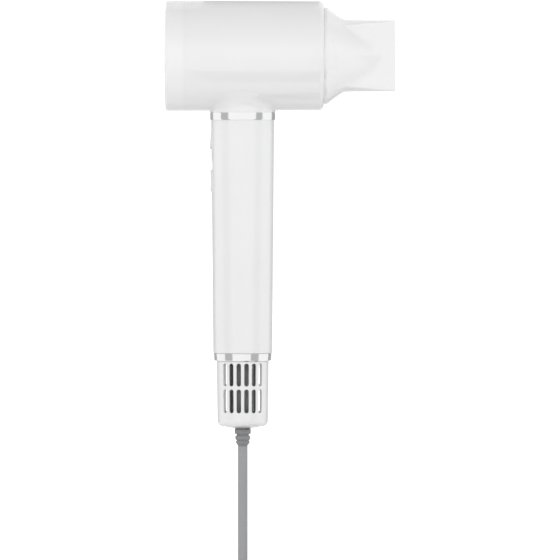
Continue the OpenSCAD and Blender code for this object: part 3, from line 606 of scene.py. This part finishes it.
FILLET_SECTIONS = 120
neck_fillet = loft("neck_fillet",
                   [neck_profile(2 * math.pi * i / FILLET_SECTIONS) for i in range(FILLET_SECTIONS)], 50)
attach(neck_fillet, "root")
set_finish(neck_fillet, "white_shell")
print("fillet faces:", len(neck_fillet.data.polygons))

# %% [markdown]
# ## A crisp ring and a fine seam
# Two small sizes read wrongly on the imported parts: the upper ring's edges look blunt beside the handle, and the
# groove between barrel and cover looks deep. A new ring and a new cover would be as easy, but both carry bores
# that inner parts sit in, so the copies follow a rule, as the cage does.

# %% The upper ring's edges and the cover's groove
RING_CHAMFER = 0.4 * MM
RING_EDGE_LEFT = 0.06 * MM
upper_low, upper_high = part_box("upper_ring")


def ring_rule(p):
    """The ring's chamfers move out to its side."""
    r, side = math.hypot(p.x, p.y), upper_high.x
    at_edge = min(abs(p.z - upper_low.z), abs(p.z - upper_high.z)) < 0.05 * MM
    grow = (side - RING_EDGE_LEFT) / r if at_edge and side - RING_CHAMFER - 0.1 * MM < r < side else 1
    return Vector((p.x * grow, p.y * grow, p.z))


SEAM_HALF = 0.6
SEAM_BOTTOM = (BARREL_R - 0.75, BARREL_R - 0.4)
SEAM_FILLED = 0.42


def seam_rule(p):
    """The groove's bottom rises."""
    r = math.hypot(p.y, p.z - HEAD_Z) / MM
    in_groove = abs(p.x / MM - SEAM_X) < SEAM_HALF and SEAM_BOTTOM[0] < r < SEAM_BOTTOM[1]
    grow = (r + SEAM_FILLED) / r if in_groove else 1
    return Vector((p.x, p.y * grow, HEAD_Z + (p.z - HEAD_Z) * grow))


ring_skin = reshaped_copy("upper_ring_skin", "upper_ring", "root", "bright_ring", ring_rule)
cover_skin = reshaped_copy("cover_skin", "rear_cover", "root", "white_cover", seam_rule)
print("reshaped:", ring_skin.name, cover_skin.name)


# %% [markdown]
# ## White moulded plastic
# The shell is glossy-satin plastic, nearly neutral. Up close such a skin is never one flat tone: it has a faint
# orange-peel from the mould, slow changes of gloss where hands have been, and the odd rubbed patch. Images could
# hold these, but noise needs no seams and stays sharp up close. All three come from it, at different sizes.

# %% White plastics
PATCH, RUBBED, PEEL = 30 * MM, 12 * MM, 0.9 * MM


def white_plastic(name, tone, gloss=0.24):
    """Coated white plastic. A lower gloss value is shinier."""
    finish = Finish(name, Roughness=gloss, IOR=1.5, Coat_Weight=1.0, Coat_Roughness=0.05)
    here = finish.place()
    patches = finish.noise(here, PATCH, 3)
    grain = finish.noise(here, PEEL, 2)
    worn = (finish.noise(here, RUBBED, 4, 0.7) - 0.55).clamped()
    lighter = tuple(min(1, c * 1.015) for c in tone)
    darker = tuple(c * 0.972 for c in tone)
    finish.put("Base Color", finish.between(patches, darker, lighter))
    finish.put("Roughness", gloss - 0.04 + 0.08 * patches + 0.12 * worn)
    finish.bump(grain, 0.03 * MM, 0.35)
    return finish.material


finishes = {
    "white_shell": white_plastic("white_shell", srgb(240, 240, 240)),
    "white_cover": white_plastic("white_cover", srgb(243, 243, 243)),
    "white_nozzle": white_plastic("white_nozzle", srgb(242, 242, 242)),
    "white_cage": white_plastic("white_cage", srgb(240, 240, 240), 0.3),
    "white_key": white_plastic("white_key", srgb(241, 241, 241)),
}
print(sorted(finishes))


# %% [markdown]
# ## Bright rings
# Both rings are turned from bright metal, so their finish is fine lines that run round the handle. Cutting them
# would take thousands of faces. Noise that changes fast with height, and hardly at all across the handle, gives
# the same streaked gloss. Copper and steel inside are made the same way, duller.

# %% Turned metal
LINES_ACROSS, LINES_ALONG = 40, 9000


def turned_metal(name, tone, rough=0.07):
    """Bare metal with fine lines square to the handle."""
    finish = Finish(name, Metallic=1.0, Base_Color=tone, Roughness=rough)
    lines = finish.noise(finish.place((LINES_ACROSS, LINES_ACROSS, LINES_ALONG)), 1, 3, 0.6)
    smudges = finish.noise(finish.place(), 6 * MM, 3)
    finish.put("Roughness", rough + 0.05 * smudges + 0.03 * lines)
    finish.bump(lines, 0.01 * MM, 0.12)
    return finish.material


finishes["bright_ring"] = turned_metal("bright_ring", srgb(243, 243, 244))
finishes["steel"] = turned_metal("steel", srgb(196, 198, 200), 0.28)
finishes["motor_alloy"] = turned_metal("motor_alloy", srgb(176, 180, 186), 0.3)
finishes["heater_wire"] = turned_metal("heater_wire", srgb(150, 104, 84), 0.45)
finishes["copper"] = turned_metal("copper", srgb(196, 120, 72), 0.3)
print("metals made, finishes so far:", len(finishes))


# %% [markdown]
# ## Dark plastics, rubber and boards
# The inner parts are matte mouldings with a spark-eroded grain, and the soft parts are rubber: duller, with a
# dusty bloom. One function makes both, and only the grain's size, its depth and the bloom differ.

# %% Matte mouldings and rubber
def matte_moulding(name, tone, rough=0.6, grain_size=0.6 * MM, depth=0.03 * MM, bloom=0.06):
    """Grained plastic or rubber, paler where bloom and dust lie on it."""
    finish = Finish(name, Roughness=rough, IOR=1.5)
    here = finish.place()
    grain = finish.noise(here, grain_size, 3, 0.6)
    dust = finish.noise(here, 8 * MM, 4, 0.65)
    pale = tuple(c + (0.6 - c) * bloom for c in tone)
    finish.put("Base Color", finish.between(dust, tone, pale))
    finish.put("Roughness", rough - 0.08 + 0.16 * dust)
    finish.bump(grain, depth, 0.6)
    return finish.material


finishes["dark_plastic"] = matte_moulding("dark_plastic", srgb(58, 60, 63))
finishes["grey_ring"] = matte_moulding("grey_ring", srgb(225, 225, 226))
finishes["mica"] = matte_moulding("mica", srgb(196, 174, 132), 0.5, 2 * MM, 0.05 * MM, 0.2)
finishes["circuit_board"] = matte_moulding("circuit_board", srgb(44, 104, 74), 0.35, 1.2 * MM)
finishes["red_plastic"] = matte_moulding("red_plastic", srgb(186, 74, 58), 0.45)
finishes["rubber_grey"] = matte_moulding("rubber_grey", srgb(137, 138, 140), 0.62, 0.7 * MM, 0.04 * MM, 0.1)
finishes["mount_rubber"] = matte_moulding("mount_rubber", srgb(72, 74, 76), 0.7, 0.7 * MM, 0.04 * MM, 0.1)
finishes["cord_grey"] = matte_moulding("cord_grey", srgb(158, 159, 161), 0.55, 0.5 * MM, 0.03 * MM, 0.05)
print("mouldings and rubber made, finishes so far:", len(finishes))


# %% [markdown]
# ## The woven filter
# Behind the slots sits a fine wire cloth. Its wires are a tenth of a millimetre thick, so they are drawn rather
# than modelled: two families of sine stripes, one round the tube and one along it, leave square holes through
# which the far side shows.

# %% Wire cloth
CLOTH_RADIUS = 10.5 * MM
CLOTH_PITCH = 0.7 * MM


def wire_cloth(name, tone):
    """Metal that is there on the wires only."""
    finish = Finish(name, Metallic=0.6, Base_Color=tone, Roughness=0.5)
    x, y, z = finish.axes(finish.place())
    round_it = (y.maths("ARCTAN2", y, x) * (2 * math.pi * CLOTH_RADIUS / CLOTH_PITCH)).sine()
    along_it = (z * (2 * math.pi / CLOTH_PITCH)).sine()
    finish.put("Alpha", round_it.over(0.5).or_more(along_it.over(0.5)))
    finish.bump(round_it * along_it, 0.1 * MM, 0.5)
    return finish.material


finishes["mesh"] = wire_cloth("mesh", srgb(140, 141, 143))
print("cloth wires round the tube:", round(2 * math.pi * CLOTH_RADIUS / CLOTH_PITCH))

# %% [markdown]
# ## Every part gets its finish
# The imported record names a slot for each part, and the pieces made above named theirs. A finish is kept under
# the same name, so one loop dresses them all and none can be forgotten.

# %% Each part takes the finish that its slot names
slots = {frame["nodes"][row["node"]]: row["material_slot"] for row in frame["record"]["subparts"]}
slots.update({piece: piece["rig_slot"] for piece in bpy.data.objects
              if piece.get("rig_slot") and piece not in slots})
for piece, slot in slots.items():
    piece.data.materials.clear()
    piece.data.materials.append(finishes[slot])
print("finished pieces:", len(slots))


# %% [markdown]
# ## The studio
# A white product on white needs light that is even and soft, with just enough falloff to turn the form. The
# world gives most of it, a little stronger from the front, and large area lamps add the long soft highlights.
# To the camera and in mirrors the backdrop is plain white. Near the dryer the floor keeps part of the shadow that
# falls on it, and the sheet is see-through from behind, so the dryer can be seen from all sides.

# %% Backdrop material
WHITE = (1.0, 1.0, 1.0)
SHADOW_KEPT = 0.45
SHADOW_FADES = (0.3, 0.6)
GLOW_ON_OBJECT = 0.2


def studio_white(name):
    """White that glows to the camera and in mirrors, and is a plain surface to all other light."""
    white = Finish(name, Roughness=0.9, Base_Color=(0.8, 0.8, 0.8))
    camera_ray, glossy_ray, through_ray = (
        white.node("ShaderNodeLightPath", {}, {}, ray)
        for ray in ("Is Camera Ray", "Is Glossy Ray", "Is Transmission Ray"))
    depth = white.axes(white.place())[1]
    far = white.node("ShaderNodeMapRange", {},
                     {"Value": depth, "From Min": SHADOW_FADES[0], "From Max": SHADOW_FADES[1]})
    seen = (glossy_ray + through_ray + camera_ray * (1 - SHADOW_KEPT * (1 - far))).clamped()
    glow = white.node("ShaderNodeEmission", {}, {"Color": WHITE, "Strength": 1 + SHADOW_KEPT * camera_ray})
    front = white.node("ShaderNodeMixShader", {}, [
        seen.or_more(GLOW_ON_OBJECT), Value(white, white.shader.outputs[0]), glow])
    behind = white.node("ShaderNodeNewGeometry", {}, {}, "Backfacing")
    clear = white.node("ShaderNodeBsdfTransparent", {}, {})
    both = white.node("ShaderNodeMixShader", {}, [behind, front, clear])
    white.feed(white.tree.nodes["Material Output"].inputs["Surface"], both)
    return white.material


backdrop_white = studio_white("studio_white")
print("backdrop nodes:", len(backdrop_white.node_tree.nodes))

# %% [markdown]
# The backdrop is one sheet: a floor whose far edge is extruded up a quarter circle and then straight on, as a
# roll of paper hangs. The floor lies under the plug, which is the lowest part.

# %% Backdrop sheet
FLOOR_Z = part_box("plug_body")[0][2]
FLOOR_FRONT, FLOOR_BACK, WIDTH = -3.2, 0.7, 6.0
CURVE, CURVE_STEPS, TOP = 0.5, 12, 3.0

bpy.ops.object.select_all(action="DESELECT")
bpy.ops.mesh.primitive_plane_add(size=WIDTH, location=(0, (FLOOR_FRONT + FLOOR_BACK) / 2, FLOOR_Z))
backdrop = bpy.context.object
backdrop.name = "backdrop"
bpy.ops.object.mode_set(mode="EDIT")
bpy.ops.transform.resize(value=(1, (FLOOR_BACK - FLOOR_FRONT) / WIDTH, 1))
bpy.ops.mesh.select_mode(type="EDGE")
bpy.ops.mesh.select_all(action="DESELECT")
bm = bmesh.from_edit_mesh(backdrop.data)
for edge in bm.edges:
    edge.select_set(all(corner.co.y > 0 for corner in edge.verts))
bmesh.update_edit_mesh(backdrop.data)
turns = [math.pi / 2 * k / CURVE_STEPS for k in range(CURVE_STEPS + 1)]
rise = [(CURVE * math.sin(a), CURVE * (1 - math.cos(a))) for a in turns] + [(CURVE, TOP)]
for (y0, z0), (y1, z1) in zip(rise, rise[1:]):
    bpy.ops.mesh.extrude_region_move(TRANSFORM_OT_translate={"value": (0, y1 - y0, z1 - z0)})
bpy.ops.object.mode_set(mode="OBJECT")
bpy.ops.object.transform_apply(location=True, rotation=False, scale=False)
backdrop.data.shade_smooth()
backdrop.data.materials.append(backdrop_white)
print("floor at", round(FLOOR_Z, 4), "m, strips facing the dryer:",
      sum(face.normal.z > 0 or face.normal.y < 0 for face in backdrop.data.polygons), "of",
      len(backdrop.data.polygons), "reach:",
      [[round(f(v.co[i] for v in backdrop.data.vertices), 3) for i in range(3)] for f in (min, max)])

# %% [markdown]
# ## Light from the room and from three lamps
# The room is brightest level with the dryer and darker overhead. Each lamp is a large soft box, and what it
# sends is worked out from how bright its face is. Lamps stay out of mirrors: the room and the cards are
# what the gloss shows.

# %% World and lamps
# Brightness of the room by the height of the direction, from straight down (0) to straight up (1)
ROOM_GREYS = [(0.0, 0.8), (0.3, 0.95), (0.5, 1.02), (0.62, 0.96), (0.8, 0.6), (1.0, 0.55)]
world = bpy.data.worlds.new("studio")
bpy.context.scene.world = world
world.use_nodes = True
room = Graph(world.node_tree)
direction = room.node("ShaderNodeTexCoord", {}, {}, "Generated")
from_ground = room.node("ShaderNodeMapRange", {}, {"Value": room.axes(direction)[2], "From Min": -1})
greys = room.node("ShaderNodeValToRGB", {"stops": ROOM_GREYS}, {"Fac": from_ground})
camera_ray = room.node("ShaderNodeLightPath", {}, {}, "Is Camera Ray")
shown = room.node("ShaderNodeMix", {"data_type": "RGBA"}, {0: camera_ray, 6: greys, 7: WHITE}, 2)
room.feed(room.tree.nodes["Background"].inputs["Color"], shown)


def soft_lamp(name, place, aim, width, height, radiance):
    """A rectangular lamp whose face has that radiance."""
    data = bpy.data.lights.new(name, "AREA")
    data.shape = "RECTANGLE"
    data.size = width
    data.size_y = height
    data.energy = radiance * math.pi * width * height
    lamp = put_in_scene(name, data)
    lamp.location = place
    lamp.rotation_euler = (Vector(aim) - Vector(place)).to_track_quat("-Z", "Y").to_euler()
    lamp.visible_glossy = False


soft_lamp("front_soft", (0.0, -1.6, 0.65), (0.02, 0, 0.05), 3.4, 0.9, 0.97)
soft_lamp("side_left", (-1.5, 0.1, 0.0), (0, 0, 0), 1.5, 1.2, 0.55)
soft_lamp("side_right", (1.5, 0.1, 0.0), (0, 0, 0), 1.5, 1.2, 0.55)

# %% [markdown]
# ## Dark cards
# White metal and glossy plastic need something dark to mirror, or they vanish against the backdrop. Dark
# cards stand where a studio would put them: strips left and right of the camera, a wing behind each side, two
# cards on the floor and one high behind the barrel. Only mirrored rays meet them, so they take no light away.

# %% Dark cards
def dark_card(name, corners, grey):
    """A flat card of one even grey that only mirrored rays meet."""
    mesh = bpy.data.meshes.new(name)
    mesh.from_pydata(corners, [], [range(len(corners))])
    card = put_in_scene(name, mesh)
    finish = Finish(name, Base_Color=(0, 0, 0), Roughness=1.0, Specular_IOR_Level=0.0)
    finish.put("Emission Color", (grey, grey, grey))
    finish.put("Emission Strength", 1.0)
    mesh.materials.append(finish.material)
    for ray in ("camera", "diffuse", "shadow", "transmission", "volume_scatter"):
        setattr(card, "visible_" + ray, False)


def standing_card(name, low_end, high_end, away, grey):
    """An upright card. Each end is its height and the two directions round the handle that it spans, in
    degrees from the camera's side."""
    corners = []
    for (z, first, last), order in ((low_end, 1), (high_end, -1)):
        for azimuth in (first, last)[::order]:
            turn = math.radians(azimuth)
            corners.append((away * math.sin(turn), -away * math.cos(turn), z))
    dark_card(name, corners, grey)


standing_card("strip_left", (-0.24, -73, -39.5), (0.13, -82.3, -53.1), 0.6, 0.5)
standing_card("strip_right", (-0.24, 30.3, 65), (0.13, 49.8, 73.8), 0.6, 0.5)
standing_card("wing_left", (-0.3, -158, -126), (0.11, -158, -126), 0.7, 0.46)
standing_card("wing_right", (-0.3, 122, 158), (0.11, 122, 158), 0.7, 0.42)

# %% Cards on the floor and behind the barrel
CARD_Z = FLOOR_Z + 2 * MM
low_front = [(-0.04, -0.6), (0.4, -0.6), (0.4, -0.27), (-0.02, -0.27)]
low_back = [(-0.2, 0.2), (0.4, 0.2), (0.4, 0.66), (-0.2, 0.66)]
dark_card("low_front", [(x, y, CARD_Z) for x, y in low_front], 0.2)
dark_card("low_back", [(x, y, CARD_Z) for x, y in low_back], 0.78)
dark_card("high_back", [(-0.03, 0.6, 0.25), (0.057, 0.6, 0.25), (0.057, 0.6, 1.4), (-0.03, 0.6, 1.4)], 0.56)

# %% [markdown]
# ## The view
# The Standard view shows a colour as it is written, which suits white plastic on white.

# %% The view
bpy.context.scene.view_settings.view_transform = "Standard"
print("view:", bpy.context.scene.view_settings.view_transform)
